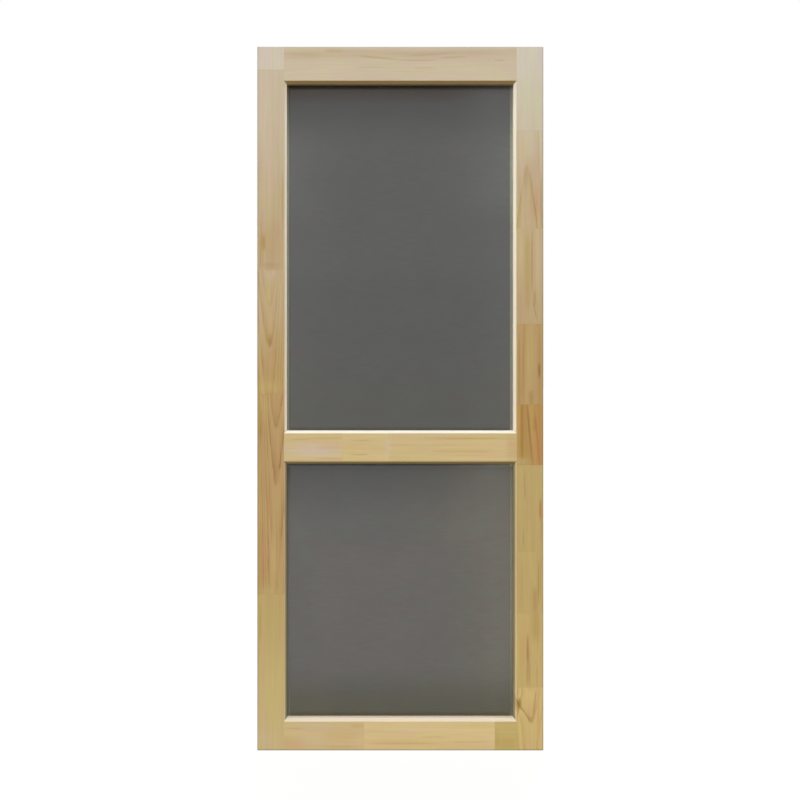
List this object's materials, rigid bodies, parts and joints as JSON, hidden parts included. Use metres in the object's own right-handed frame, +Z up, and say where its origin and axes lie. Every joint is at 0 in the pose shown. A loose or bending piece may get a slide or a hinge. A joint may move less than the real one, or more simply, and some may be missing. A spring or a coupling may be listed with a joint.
{
  "type": "wooden screen door leaf",
  "caption": "Unpainted pine screen door leaf: finger-jointed stiles and rails around a tall upper and a shorter lower screened opening.",
  "frame": {"origin": "bottom of the left stile's outer edge, at mid-thickness", "axes": "+X across the leaf to the right as seen from the front, +Y from front to back, +Z up"},
  "size_m": [0.813, 0.0286, 1.998],
  "materials": {
    "frame_wood": "unfinished, planed",
    "moulding_wood": "unfinished, planed",
    "screen_cloth": "matte charcoal fibreglass mesh",
    "pin_steel": "bright wire pins, slightly dulled"
  },
  "bodies": {
    "root": {"bottom_rail_block_1": "frame_wood", "bottom_rail_block_2": "frame_wood", "bottom_rail_block_3": "frame_wood", "left_stile_block_1": "frame_wood", "left_stile_block_2": "frame_wood", "left_stile_block_3": "frame_wood", "left_stile_block_4": "frame_wood", "left_stile_block_5": "frame_wood", "lower_moulding_bottom": "moulding_wood", "lower_moulding_left": "moulding_wood", "lower_moulding_right": "moulding_wood", "lower_moulding_top": "moulding_wood", "lower_screen": "screen_cloth", "mid_rail_block_1": "frame_wood", "mid_rail_block_2": "frame_wood", "mid_rail_block_3": "frame_wood", "right_stile_block_1": "frame_wood", "right_stile_block_2": "frame_wood", "right_stile_block_3": "frame_wood", "right_stile_block_4": "frame_wood", "right_stile_block_5": "frame_wood", "right_stile_block_6": "frame_wood", "right_stile_block_7": "frame_wood", "right_stile_block_8": "frame_wood", "right_stile_block_9": "frame_wood", "top_rail": "frame_wood", "upper_moulding_bottom": "moulding_wood", "upper_moulding_left": "moulding_wood", "upper_moulding_right": "moulding_wood", "upper_moulding_top": "moulding_wood", "upper_screen": "screen_cloth"}
  },
  "joints": []
}
